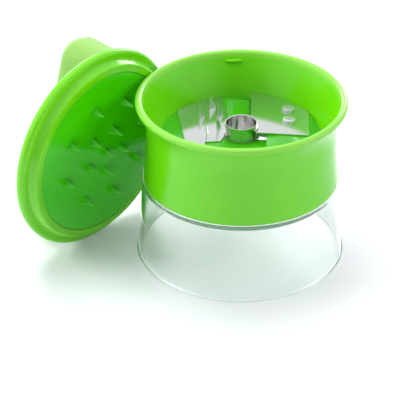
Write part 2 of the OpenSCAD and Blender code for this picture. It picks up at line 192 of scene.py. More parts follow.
class Surface(Graph):
    """A new material with its surface shader, and the nodes that the finishes share."""

    def __init__(self, name: str) -> None:
        """Starts the material.

        Args:
            name: The finish's name.
        """
        self.material = bpy.data.materials.new(name)
        self.material.use_nodes = True
        super().__init__(self.material.node_tree)
        self.tree.nodes.clear()
        self.shader = self.add("ShaderNodeBsdfPrincipled")
        self.output = self.add("ShaderNodeOutputMaterial", {"Surface": self.shader.outputs["BSDF"]})
        self.place = self.add("ShaderNodeTexCoord").outputs["Object"]

    def noise(self, size: float, detail: float = 2.0) -> NodeSocket:
        """Gives noise whose marks are this many millimetres across."""
        inputs = {"Vector": self.place, "Scale": per_mm(size), "Detail": detail}
        return self.first("ShaderNodeTexNoise", inputs)

    def blend(self, share: NodeSocket, first: object, second: object) -> NodeSocket:
        """Goes over from one colour to another by a share."""
        return self.add("ShaderNodeMix", {0: share, 6: first, 7: second}, data_type="RGBA").outputs[2]

    def bump(self, height: NodeSocket, strength: float, depth: float) -> NodeSocket:
        """Raises the skin by a height whose full depth is in millimetres."""
        inputs = {"Height": height, "Strength": strength, "Distance": depth * MM}
        return self.first("ShaderNodeBump", inputs)

    def dress(self, inputs: dict) -> Material:
        """Gives the surface shader its values and links, and hands the material over."""
        self.feed(self.shader, inputs)
        return self.material


@dataclass(frozen=True)
class MouldedPlastic:
    """ABS or polypropylene from a polished mould: a deep gloss, with faint flow clouds and orange peel."""

    name: str
    colour: str
    deep: str
    roughness: float = 0.22
    ior: float = 1.57
    flow_mm: float = 16.0
    gloss_mm: float = 5.0
    # Real orange peel is about 0.3 mm; it is drawn at 1.4 mm so that it shows in the render.
    peel_mm: float = 1.4
    peel: float = 0.05
    peel_depth: float = 0.1
    # Heights in the part's frame between which the colour goes over to another one: bands of painted light
    # and painted shade.
    painted_light_bands: tuple[tuple[float, float, str], ...] = ()

    def make(self) -> Material:
        """Builds the material: clouds in the colour, bands of painted light and shade by height, uneven gloss
        and a very low bump.
        """
        skin = Surface(self.name)
        tint = skin.blend(skin.noise(self.flow_mm), linear(self.colour), linear(self.deep))
        height = skin.add("ShaderNodeSeparateXYZ", {0: skin.place}).outputs["Z"]
        # Each band paints light or shade into the colour between two heights.
        for first, last, colour in self.painted_light_bands:
            share = skin.ramp(height, start=first * MM, stop=last * MM)
            tint = skin.blend(share, tint, linear(colour))
        gloss = skin.noise(self.gloss_mm, 3.0)
        return skin.dress(
            {
                "Base Color": tint,
                "Roughness": skin.ramp(gloss, self.roughness * 0.85, self.roughness * 1.15),
                "Normal": skin.bump(skin.noise(self.peel_mm, 1.0), self.peel, self.peel_depth),
                "IOR": self.ior,
            }
        )


@dataclass(frozen=True)
class SoftCover:
    """TPE rubber moulded over a core: a satin skin with a fine grain that spreads the light."""

    name: str
    colour: str
    deep: str
    roughness: float = 0.46
    ior: float = 1.48
    flow_mm: float = 12.0
    # Real spark grain is about 0.1 mm; it is drawn at 0.6 mm so that it shows in the render.
    grain_mm: float = 0.6
    grain: float = 0.12
    grain_depth: float = 0.1

    def make(self) -> Material:
        """Builds the material: soft clouds, a fine grain bump and a weak sheen."""
        skin = Surface(self.name)
        grain = skin.noise(self.grain_mm)
        return skin.dress(
            {
                "Base Color": skin.blend(skin.noise(self.flow_mm), linear(self.colour), linear(self.deep)),
                "Roughness": skin.ramp(grain, self.roughness * 0.9, self.roughness * 1.1),
                "Normal": skin.bump(grain, self.grain, self.grain_depth),
                "IOR": self.ior,
                "Sheen Weight": 0.15,
                "Sheen Roughness": 0.4,
            }
        )


@dataclass(frozen=True)
class ClearPlastic:
    """SAN moulded clear: bright edges, a faint grey-green in the thickness and a polished skin."""

    name: str
    colour: str
    shade: str
    ior: float = 1.57
    haze_mm: float = 9.0
    haze: Point = (0.012, 0.035)
    ripple_mm: float = 14.0
    ripple: float = 0.06
    ripple_depth: float = 0.3
    wall_bounces: float = 3.5

    def make(self) -> Material:
        """Builds the material: clear, with slight ripples, and open to the light of the lamps."""
        skin = Surface(self.name)
        path = skin.add("ShaderNodeLightPath").outputs
        # Light that has run on inside the wall leaves it, instead of being lost there.
        piped = skin.math("GREATER_THAN", path["Ray Depth"], self.wall_bounces)
        straight = skin.math("MAXIMUM", path["Is Shadow Ray"], piped)
        through = skin.first("ShaderNodeBsdfTransparent", {"Color": linear(self.shade)})
        shaders = {0: straight, 1: skin.shader.outputs["BSDF"], 2: through}
        skin.feed(skin.output, {"Surface": skin.first("ShaderNodeMixShader", shaders)})
        return skin.dress(
            {
                "Base Color": linear(self.colour),
                "Roughness": skin.ramp(skin.noise(self.haze_mm), *self.haze),
                "Normal": skin.bump(skin.noise(self.ripple_mm, 1.0), self.ripple, self.ripple_depth),
                "IOR": self.ior,
                "Transmission Weight": 1.0,
            }
        )


@dataclass(frozen=True)
class Steel:
    """Stainless steel, ground and polished: a clear mirror that fine lines draw out a little."""

    name: str
    colour: str
    roughness: float = 0.1
    # Spacing of the grinding lines across and along, in millimetres along X, Y and Z.
    # Real polish lines are about 0.02 mm apart; they are drawn coarser so that they show.
    lines_mm: tuple[float, float, float] = (0.25, 9.0, 9.0)
    depth: float = 0.04
    line_depth: float = 0.05
    cloud_mm: float = 11.0
    cloud_share: float = 0.93

    def make(self) -> Material:
        """Builds the material: drawn-out noise in the gloss and the bump, and faint clouds in the colour."""
        skin = Surface(self.name)
        stretch = {"Vector": skin.place, "Scale": tuple(per_mm(s) for s in self.lines_mm)}
        drawn = skin.first("ShaderNodeMapping", stretch)
        marks = {"Vector": drawn, "Scale": 1.0, "Detail": 2.0}
        lines = skin.first("ShaderNodeTexNoise", marks)
        bright = linear(self.colour)
        dull = (*(self.cloud_share * c for c in bright[:3]), 1.0)
        return skin.dress(
            {
                "Base Color": skin.blend(skin.noise(self.cloud_mm), bright, dull),
                "Roughness": skin.ramp(lines, self.roughness * 0.6, self.roughness * 1.4),
                "Normal": skin.bump(lines, self.depth, self.line_depth),
                "Metallic": 1.0,
            }
        )


@dataclass(frozen=True)
class Finishes:
    """Every finish of the part, one for each material slot of the record."""

    made: dict[Slot, Material]
    ground: Material

    @classmethod
    def mix(cls) -> "Finishes":
        """Builds all the materials."""
        # Painted light: the lip is painted paler, a painted glow for the light that runs through the thin
        # plastic.
        lip = (78.8, 80.8, "#8ede4a")
        # Painted shade: the spigot is painted a dull grey-green where it sits in the shade behind the
        # sleeve's wall.
        spigot = (40.0, 39.6, "#5c8a5e")
        recipes = {
            Slot.BOWL: MouldedPlastic("gloss_abs_leaf_green", "#72dc00", "#6ad400", painted_light_bands=(lip, spigot)),
            # The deck is a darker green than the bowl; part of that darkness is painted shade for its place
            # deep in the funnel.
            Slot.DECK: MouldedPlastic("gloss_abs_deck_green", "#40b600", "#38ac00"),
            Slot.HOLDER: MouldedPlastic("gloss_abs_holder_green", "#76de00", "#6ed600", roughness=0.13),
            # The spike disc is a deeper green than the cap; part of that darkness is painted shade where the
            # disc faces the bowl.
            Slot.SPIKES: MouldedPlastic("gloss_abs_spike_green", "#46d400", "#3eca00", roughness=0.13),
            Slot.GRIP: SoftCover("satin_tpe_grip_green", "#98cc66", "#90c45c"),
            Slot.CORE: MouldedPlastic("plain_polypropylene_core_green", "#3e9a10", "#37900c", roughness=0.45),
            Slot.CLEAR: ClearPlastic("clear_san_sleeve", "#ecf0ee", "#fafcfb"),
            Slot.BLADE: Steel("polished_stainless_sheet", "#dbe0de"),
            Slot.TUBE: Steel("drawn_stainless_tube", "#d6d3d2", roughness=0.14, lines_mm=(1.2, 1.2, 14.0)),
            Slot.SCREW: Steel("bright_cold_headed_steel", "#e2e6e5", roughness=0.42, lines_mm=(0.6,) * 3),
        }
        # Punching and grinding leave the teeth duller than the sheet, so they catch the light from above.
        ground = Steel("ground_stainless_teeth", "#e6eae8", roughness=0.42, lines_mm=(0.3, 0.3, 4.0))
        return cls({slot: recipe.make() for slot, recipe in recipes.items()}, ground.make())


# Meshes


def rounded(corners: list[Corner], steps: int = 6, support: float = 0.25) -> list[Point]:
    """Rounds the corners of a closed outline.

    Args:
        corners: Each corner as two coordinates and its radius; a radius of 0 keeps the point.
        steps: Steps in each round.
        support: Length of the short step that keeps a flat face flat beside a round.

    Returns:
        The outline's points, in the same order.
    """
    points: list[Point] = []
    count = len(corners)
    for i, (x, y, radius) in enumerate(corners):
        here = Vector((x, y))
        if radius <= 0:
            points.append((x, y))
            continue
        back = Vector(corners[i - 1][:2]) - here
        ahead = Vector(corners[(i + 1) % count][:2]) - here
        half = back.angle(ahead) / 2
        reach = min(radius / math.tan(half), ROUND_SHARE * back.length, ROUND_SHARE * ahead.length)
        radius = reach * math.tan(half)
        middle = here + (back.normalized() + ahead.normalized()).normalized() * (radius / math.sin(half))
        first = here + back.normalized() * reach
        last = here + ahead.normalized() * reach
        if back.length > SUPPORT_ROOM * (reach + support):
            points.append(tuple(first + back.normalized() * support))
        sweep = (first - middle).angle_signed(last - middle)
        for k in range(steps + 1):
            turn = Matrix.Rotation(-sweep * k / steps, 2)
            points.append(tuple(middle + turn @ (first - middle)))
        if ahead.length > SUPPORT_ROOM * (reach + support):
            points.append(tuple(last + ahead.normalized() * support))
    return points


def settle(mesh: Mesh, crease: float = CREASE) -> None:
    """Closes a mesh's seams, turns its faces outwards and shades it smooth up to a crease.

    Args:
        mesh: The mesh to settle.
        crease: The angle in degrees above which an edge stays sharp.
    """
    work = bmesh.new()
    work.from_mesh(mesh)
    bmesh.ops.remove_doubles(work, verts=work.verts, dist=WELD)
    bmesh.ops.recalc_face_normals(work, faces=work.faces)
    for face in work.faces:
        face.smooth = True
    work.to_mesh(mesh)
    work.free()
    mesh.set_sharp_from_angle(angle=math.radians(crease))


def soften(work: BMesh, width: float, angle: float = 30.0, segments: int = 2) -> None:
    """Bevels the sharp edges of a mesh.

    Args:
        work: The mesh being worked on.
        width: The bevel's width in millimetres.
        angle: The angle in degrees above which an edge is sharp.
        segments: Steps across the bevel.
    """
    sharp = [e for e in work.edges if e.is_manifold and e.calc_face_angle(0.0) > math.radians(angle)]
    bmesh.ops.bevel(
        work,
        geom=sharp,
        offset=width * MM,
        segments=segments,
        profile=0.5,
        affect="EDGES",
        clamp_overlap=True,
    )


def polyline(name: str, points: list[Point], closed: bool) -> Mesh:
    """Makes a section in the XZ plane that a turned piece is swept from.

    Args:
        name: The mesh's name.
        points: Radius and height of each point, in millimetres.
        closed: True if the last point joins the first.

    Returns:
        A mesh of points in order, in metres.
    """
    loop = points + points[:1] if closed else points
    mesh = bpy.data.meshes.new(name)
    mesh.from_pydata([(r * MM, 0.0, z * MM) for r, z in loop], [], [])
    return mesh


def place_points(name: str, places: list[Place], turns: list[float] | None = None) -> Mesh:
    """Makes a mesh of loose points that repeated pieces are set on.

    Args:
        name: The mesh's name.
        places: Each point in millimetres.
        turns: Each point's turn about Z in degrees.

    Returns:
        The mesh, in metres, with the turns as an attribute.
    """
    mesh = bpy.data.meshes.new(name)
    mesh.from_pydata([tuple(c * MM for c in p) for p in places], [], [])
    turn = mesh.attributes.new("turn", "FLOAT", "POINT")
    turn.data.foreach_set("value", [math.radians(t) for t in turns or [0.0] * len(places)])
    return mesh


class NodeTool(Graph):
    """A Geometry Nodes tree with named inputs, which makes a plain mesh from a seed mesh."""

    def __init__(
        self,
        name: str,
        counts: tuple[str, ...] = (),
        lengths: tuple[str, ...] = (),
        angles: tuple[str, ...] = (),
    ) -> None:
        """Starts the tree, which always takes a seed and a finish.

        Args:
            name: The tree's name.
            counts: The names of its whole-number inputs.
            lengths: The names of its inputs in millimetres.
            angles: The names of its inputs in degrees.
        """
        super().__init__(bpy.data.node_groups.new(name, "GeometryNodeTree"))
        face = self.tree.interface
        face.new_socket(name="Seed", in_out="INPUT", socket_type="NodeSocketGeometry")
        face.new_socket(name="Made", in_out="OUTPUT", socket_type="NodeSocketGeometry")
        self.units = {**dict.fromkeys(lengths, MM), **dict.fromkeys(angles, math.radians(1.0))}
        kinds = {
            **dict.fromkeys(counts, "NodeSocketInt"),
            **dict.fromkeys(self.units, "NodeSocketFloat"),
            "Finish": "NodeSocketMaterial",
        }
        self.keys = {
            label: face.new_socket(name=label, in_out="INPUT", socket_type=kind).identifier
            for label, kind in kinds.items()
        }
        self.given = self.add("NodeGroupInput").outputs

    def vector(self, x: object = 0.0, y: object = 0.0, z: object = 0.0) -> NodeSocket:
        """Makes a vector of three values or sockets."""
        return self.first("ShaderNodeCombineXYZ", {"X": x, "Y": y, "Z": z})

    def join(self, *parts: NodeSocket) -> NodeSocket:
        """Joins geometry, in order."""
        whole = self.add("GeometryNodeJoinGeometry")
        for part in parts:
            self.feed(whole, {0: part})
        return whole.outputs[0]

    def end(self, geometry: NodeSocket) -> None:
        """Ends the tree: instances become real and take their finish."""
        real = self.first("GeometryNodeRealizeInstances", {"Geometry": geometry})
        finish = self.given["Finish"]
        dressed = self.first("GeometryNodeSetMaterial", {"Geometry": real, "Material": finish})
        self.add("NodeGroupOutput", {"Made": dressed})

    def run(self, name: str, seed: Mesh, values: dict[str, object]) -> Object:
        """Runs the tree on a seed mesh.

        Args:
            name: The new piece's name.
            seed: The mesh that the tree starts from.
            values: A value for each named input, in its own unit.

        Returns:
            A new object with a plain mesh.
        """
        holder = bpy.data.objects.new(name + "_seed", seed)
        bpy.context.scene.collection.objects.link(holder)
        modifier = holder.modifiers.new(self.tree.name, "NODES")
        modifier.node_group = self.tree
        for label, value in values.items():
            unit = self.units.get(label)
            modifier[self.keys[label]] = value * unit if unit else value
        graph = bpy.context.evaluated_depsgraph_get()
        mesh = bpy.data.meshes.new_from_object(holder.evaluated_get(graph), depsgraph=graph)
        holder.modifiers.remove(modifier)
        bpy.data.objects.remove(holder)
        return put(name, mesh)


def put(name: str, mesh: Mesh) -> Object:
    """Puts a mesh into the scene as an object at the origin."""
    mesh.name = name
    piece = bpy.data.objects.new(name, mesh)
    bpy.context.scene.collection.objects.link(piece)
    return piece


class TurningTool(NodeTool):
    """Turns a section round the Z axis, as a lathe or a round mould does."""

    def __init__(self) -> None:
        """Builds the tree: a grid whose rows follow the section and whose columns go round."""
        super().__init__("turned_section", counts=("Segments",))
        seed, segments = self.given["Seed"], self.given["Segments"]
        rows = self.first("GeometryNodeAttributeDomainSize", {"Geometry": seed}, component="MESH")
        columns = self.math("ADD", segments, 1.0)
        grid = self.first("GeometryNodeMeshGrid", {"Vertices X": columns, "Vertices Y": rows})
        index = self.first("GeometryNodeInputIndex")
        column = self.math("FLOOR", self.math("DIVIDE", self.math("ADD", index, 0.5), rows))
        row = self.math("SUBTRACT", index, self.math("MULTIPLY", column, rows))
        sample = {"Geometry": seed, "Index": row}
        point = self.add("GeometryNodeSampleIndex", sample, data_type="FLOAT_VECTOR")
        place = self.first("GeometryNodeInputPosition")
        self.tree.links.new(place, next(s for s in point.inputs if s.name == "Value" and s.enabled))
        value = next(s for s in point.outputs if s.enabled)
        turn = self.math("DIVIDE", self.math("MULTIPLY", column, math.tau), segments)
        about = {"Vector": value, "Angle": turn}
        turned = self.first("ShaderNodeVectorRotate", about, rotation_type="Z_AXIS")
        swept = self.first("GeometryNodeSetPosition", {"Geometry": grid, "Position": turned})
        self.end(self.first("GeometryNodeMergeByDistance", {"Geometry": swept, "Distance": WELD}))

    def turn(self, name: str, section: list[Point], finish: Material, closed: bool = True) -> Object:
        """Turns a section into a piece.

        Args:
            name: The piece's name.
            section: Radius and height of each point in millimetres, anticlockwise.
            finish: The piece's material.
            closed: True if the section joins up off the axis.

        Returns:
            The piece, with its axis on Z.
        """
        piece = self.run(name, polyline(name, section, closed), {"Segments": SEGMENTS, "Finish": finish})
        settle(piece.data)
        return piece


class ScrewTool(NodeTool):
    """Sets pan-head screws on points, each with a cross recess, and with the shank along -Z."""

    # Shares of the head's height: its upright side and the depth of its recess.
    SIDE_SHARE, RECESS_SHARE = 0.8, 0.85
    # Where along the bar the side and the crown end; the rest becomes the recess.
    SIDE_END, CROWN_END = 0.16, 0.72
    # Shares of the head's radius: the recess's mouth, the reach of its lobes and its taper.
    MOUTH, LOBE, TAPER = 0.36, 0.16, 0.5
    # Steps round the head, along the bar and round the shank.
    HEAD_STEPS, BAR_STEPS, SHANK_STEPS = 48, 25, 24

    def __init__(self) -> None:
        """Builds the tree: a cylinder bent into a head with a recess, and a plain shank."""
        super().__init__(
            "pan_head_screws", lengths=("Head radius", "Head height", "Shank radius", "Shank length")
        )
        given = self.given
        sizes = {"Vertices": self.HEAD_STEPS, "Side Segments": self.BAR_STEPS, "Radius": 1.0, "Depth": 1.0}
        bar = self.first("GeometryNodeMeshCylinder", sizes)
        place = self.first("GeometryNodeInputPosition")
        at = self.add("ShaderNodeSeparateXYZ", {0: place}).outputs
        rise = self.math("ADD", at["Z"], 0.5)
        ends = (0.0, self.SIDE_END, self.CROWN_END, 1.0)
        side, crown, recess = (
            self.ramp(rise, start=start, stop=stop) for start, stop in zip(ends, ends[1:])
        )
        angle = self.math("ARCTAN2", at["Y"], at["X"])
        lobe = self.math("COSINE", self.math("MULTIPLY", angle, 4.0))
        lobed = self.math("MULTIPLY", lobe, self.math("POWER", crown, 4.0))
        mouth = self.math("MULTIPLY_ADD", lobed, self.LOBE, self.MOUTH)
        inwards = self.math("MULTIPLY", crown, self.math("SUBTRACT", 1.0, mouth))
        top = self.math("SUBTRACT", 1.0, inwards)
        shrink = self.math("MULTIPLY_ADD", recess, -self.TAPER, 1.0)
        radius = self.math("MULTIPLY", self.math("MULTIPLY", top, shrink), given["Head radius"])
        dome = self.math("SUBTRACT", 1.0, self.math("MULTIPLY", top, top))
        domed = self.math("MULTIPLY", dome, 1.0 - self.SIDE_SHARE)
        raised = self.math("ADD", self.math("MULTIPLY", side, self.SIDE_SHARE), domed)
        sunk = self.math("MULTIPLY", recess, -self.RECESS_SHARE)
        bent = self.vector(
            self.math("MULTIPLY", self.math("COSINE", angle), radius),
            self.math("MULTIPLY", self.math("SINE", angle), radius),
            self.math("MULTIPLY", self.math("ADD", raised, sunk), given["Head height"]),
        )
        head = self.first("GeometryNodeSetPosition", {"Geometry": bar, "Position": bent})
        length = given["Shank length"]
        sizes = {"Vertices": self.SHANK_STEPS, "Radius": given["Shank radius"], "Depth": length}
        rod = self.first("GeometryNodeMeshCylinder", sizes)
        down = self.vector(z=self.math("MULTIPLY", length, -0.5))
        shank = self.first("GeometryNodeTransform", {"Geometry": rod, "Translation": down})
        spread = {"Points": given["Seed"], "Instance": self.join(shank, head)}
        self.end(self.first("GeometryNodeInstanceOnPoints", spread))


class SpikeTool(NodeTool):
    """Sets four-sided spikes in two rings round one in the middle."""

    def __init__(self) -> None:
        """Builds the tree: two rings of points and the seed's own, each with a four-sided cone."""
        super().__init__(
            "spike_rings",
            counts=("Inner count", "Outer count"),
            lengths=("Inner radius", "Outer radius", "Foot radius", "Height", "Tip radius"),
            angles=("Turn",),
        )
        given = self.given
        rings = []
        for ring in ("Inner", "Outer"):
            sizes = {"Vertices": given[ring + " count"], "Radius": given[ring + " radius"]}
            rings.append(self.first("GeometryNodeMeshCircle", sizes))
        points = self.join(given["Seed"], *rings)
        turn = self.vector(z=given["Turn"])
        placed = self.first("GeometryNodeTransform", {"Geometry": points, "Rotation": turn})
        sizes = {
            "Vertices": 4,
            "Radius Top": given["Tip radius"],
            "Radius Bottom": given["Foot radius"],
            "Depth": given["Height"],
        }
        cone = self.first("GeometryNodeMeshCone", sizes)
        self.end(self.first("GeometryNodeInstanceOnPoints", {"Points": placed, "Instance": cone}))


class ToothTool(NodeTool):
    """Sets thin pointed teeth on points, each turned about Z by the point's own attribute."""

    def __init__(self) -> None:
        """Builds the tree: a pointed outline that is filled, thickened and stood upright."""
        super().__init__(
            "punched_teeth",
            lengths=("Width", "Height", "Lean", "Tip width", "Thickness"),
            angles=("Tilt",),
        )
        given = self.given
        half = self.math("MULTIPLY", given["Width"], 0.5)
        tip = self.math("MULTIPLY", given["Tip width"], 0.5)
        spots = (
            (self.math("MULTIPLY", half, -1.0), 0.0),
            (half, 0.0),
            (self.math("ADD", given["Lean"], tip), given["Height"]),
            (self.math("SUBTRACT", given["Lean"], tip), given["Height"]),
        )
        corners = {f"Point {number}": self.vector(*spot) for number, spot in enumerate(spots, 1)}
        outline = self.first("GeometryNodeCurvePrimitiveQuadrilateral", corners, mode="POINTS")
        flat = self.first("GeometryNodeFillCurve", {"Curve": outline}, mode="NGONS")
        thick = self.first("GeometryNodeExtrudeMesh", {"Mesh": flat, "Offset Scale": given["Thickness"]})
        stood = {"Geometry": self.join(flat, thick), "Rotation": (math.pi / 2, 0.0, -math.pi / 2)}
        upright = self.first("GeometryNodeTransform", stood)
        outwards = self.vector(y=given["Tilt"])
        tilted = self.first("GeometryNodeTransform", {"Geometry": upright, "Rotation": outwards})
        turn = self.add("GeometryNodeInputNamedAttribute", {"Name": "turn"}, data_type="FLOAT")
        about = self.vector(z=next(s for s in turn.outputs if s.enabled and s.name == "Attribute"))
        spread = {"Points": given["Seed"], "Instance": tilted, "Rotation": about}
        self.end(self.first("GeometryNodeInstanceOnPoints", spread))


@dataclass(frozen=True)
class ScrewSize:
    """Sizes of a pan-head screw, in millimetres."""

    head_r: float
    head_h: float
    shank_r: float
    shank_l: float


@dataclass(frozen=True)
class Workshop:
    """The finishes and the tools that every sub-assembly is made with."""

    finishes: dict[Slot, Material]
    ground: Material
    turning: TurningTool
    screws: ScrewTool
    spikes: SpikeTool
    teeth: ToothTool

    def fit(
        self,
        piece: Object,
        body: Body,
        slot: Slot,
        *nodes: str,
        finish: Material | None = None,
    ) -> None:
        """Gives a piece its finish and sets it on its body in place of CAD nodes.

        Args:
            piece: The finished piece.
            body: The body that it moves with.
            slot: Its material slot.
            nodes: The nodes that it stands for.
            finish: Its own finish, if it differs from the slot's.
        """
        piece.data.materials.clear()
        piece.data.materials.append(finish or self.finishes[slot])
        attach(piece, body.value)
        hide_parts(*nodes)
        LOG.info("%s: %d faces on %s", piece.name, len(piece.data.polygons), body.value)

    def screw_set(self, name: str, places: list[Place], sizes: ScrewSize) -> Object:
        """Makes a set of screws with their heads towards +Z.

        Args:
            name: The set's name.
            places: Where each head stands, in millimetres.
            sizes: The screws' sizes.

        Returns:
            One piece with all the screws.
        """
        values = {
            "Head radius": sizes.head_r,
            "Head height": sizes.head_h,
            "Shank radius": sizes.shank_r,
            "Shank length": sizes.shank_l,
            "Finish": self.finishes[Slot.SCREW],
        }
        piece = self.screws.run(name, place_points(name, places), values)
        settle(piece.data, SOFT_CREASE)
        return piece


def cad_copy(node: str) -> BMesh:
    """Copies a CAD node's mesh with its seams closed and its flat faces whole.

    Args:
        node: The node's name.

    Returns:
        The copy, to be worked on.
    """
    work = bmesh.new()
    work.from_mesh(frame["nodes"][node].data)
    bmesh.ops.remove_doubles(work, verts=work.verts, dist=WELD)
    bmesh.ops.dissolve_limit(work, angle_limit=math.radians(0.5), verts=work.verts, edges=work.edges)
    return work


def finish_mesh(name: str, work: BMesh, crease: float = CREASE) -> Object:
    """Turns a worked mesh into a settled piece.

    Args:
        name: The piece's name.
        work: The worked mesh, which is freed.
        crease: The angle in degrees above which an edge stays sharp.

    Returns:
        The piece.
    """
    mesh = bpy.data.meshes.new(name)
    work.to_mesh(mesh)
    work.free()
    settle(mesh, crease)
    return put(name, mesh)


# Sub-assemblies


@dataclass
class Bowl:
    """The green bowl: outer wall, rounded lip, funnel and spigot, with two locating ribs."""

    rim_r: float = 50.0
    body_h: float = 82.0
    lip_r: float = 1.8
    waist_r: float = 45.0
    waist_h: float = 65.0
    seam_r: float = 46.6
    seam_h: float = SEAM_H
    wall: float = 2.0
    deck_r: float = 38.4
    deck_top: float = DECK_TOP
    deck_bottom: float = DECK_BOTTOM
    collar_r: float = 41.8
    collar_top: float = 62.0
    cavity_top: float = 64.4
    spigot_r: float = 44.85
    spigot_wall: float = 1.8
    spigot_foot: float = 36.8
    spigot_root: float = 42.0
    wall_steps: int = 24
    rib_size: Place = (2.0, 7.8, 1.5)
    rib_edge: float = 0.35
    rib_out: float = 1.0
    rib_z: float = 77.5
    rib_angles: tuple[float, float] = (95.0, 275.0)

    def wall_r(self, z: float) -> float:
        """Gives the outer wall's radius from the seam up to the waist, where the wall is upright."""
        share = (self.waist_h - z) / (self.waist_h - self.seam_h)
        return self.waist_r + (self.seam_r - self.waist_r) * share**2

    def funnel_r(self, z: float) -> float:
        """Gives the radius of the funnel's inside."""
        top_r, top_z = self.rim_r - 2 * self.lip_r, self.body_h - self.lip_r
        return self.deck_r + (top_r - self.deck_r) * (z - self.deck_top) / (top_z - self.deck_top)

    def flare_and_lip(self, steps: int = 16) -> list[Corner]:
        """Draws the flare's arc, which leaves the waist upright, and the lip's round, which it runs into.

        Args:
            steps: Steps in each of the two arcs.

        Returns:
            The points from the waist up and over the lip to the funnel.
        """
        mid_r, mid_z = self.rim_r - self.lip_r, self.body_h - self.lip_r
        rise, out = mid_z - self.waist_h, mid_r - self.waist_r
        radius = (rise**2 + out**2 - self.lip_r**2) / (2 * (out + self.lip_r))
        flare = math.asin(rise / (radius + self.lip_r))
        sweep = flare + math.pi - math.atan2(mid_r - self.lip_r - self.deck_r, mid_z - self.deck_top)
        points = []
        for k in range(steps + 1):
            turn = flare * k / steps
            shift = radius * (1 - math.cos(turn))
            points.append((self.waist_r + shift, self.waist_h + radius * math.sin(turn), 0.0))
        for k in range(1, steps + 1):
            turn = sweep * k / steps - flare
            points.append((mid_r + self.lip_r * math.cos(turn), mid_z + self.lip_r * math.sin(turn), 0.0))
        return points

    def section(self) -> list[Point]:
        """Draws the bowl's section, anticlockwise from the seam."""
        steps, rise = self.wall_steps, self.waist_h - self.seam_h
        levels = [self.seam_h + rise * k / steps for k in range(1, steps)]
        inner = [z for z in reversed(levels) if self.spigot_root < z < self.cavity_top]
        corners = [
            (self.seam_r, self.seam_h, 0.3),
            *((self.wall_r(z), z, 0.0) for z in levels),
            *self.flare_and_lip(),
            (self.deck_r, self.deck_top, 0.4),
            (self.deck_r, self.deck_bottom, 0.2),
            (self.collar_r, self.deck_bottom, 0.4),
            (self.collar_r, self.collar_top, 0.6),
            (self.wall_r(self.cavity_top) - self.wall, self.cavity_top, 0.0),
            *((self.wall_r(z) - self.wall, z, 0.0) for z in inner),
            (self.spigot_r - self.spigot_wall, self.seam_h, 0.3),
            (self.spigot_r - self.spigot_wall, self.spigot_foot, 0.3),
            (self.spigot_r, self.spigot_foot, 0.3),
            (self.spigot_r, self.seam_h, 0.1),
        ]
        return rounded(corners)

    def ribs(self) -> Object:
        """Makes the locating ribs, small blocks with soft edges that are rooted in the funnel."""
        work = bmesh.new()
        for angle in self.rib_angles:
            made = bmesh.ops.create_cube(work, size=1.0)["verts"]
            middle = self.funnel_r(self.rib_z) - self.rib_out + self.rib_size[0] / 2
            place = (
                Matrix.Rotation(math.radians(angle), 4, "Z")
                @ Matrix.Translation(Vector((middle, 0.0, self.rib_z)) * MM)
                @ Matrix.Diagonal((*(s * MM for s in self.rib_size), 1.0))
            )
            bmesh.ops.transform(work, matrix=place, verts=made)
        soften(work, self.rib_edge, segments=3)
        return finish_mesh("rim_ribs", work)

    def build(self, shop: Workshop) -> None:
        """Makes the bowl and its ribs."""
        bowl = shop.turning.turn("bowl_shell", self.section(), shop.finishes[Slot.BOWL])
        shop.fit(bowl, Body.SPIRALIZER, Slot.BOWL, "bowl")
        shop.fit(self.ribs(), Body.SPIRALIZER, Slot.BOWL, "bowl")


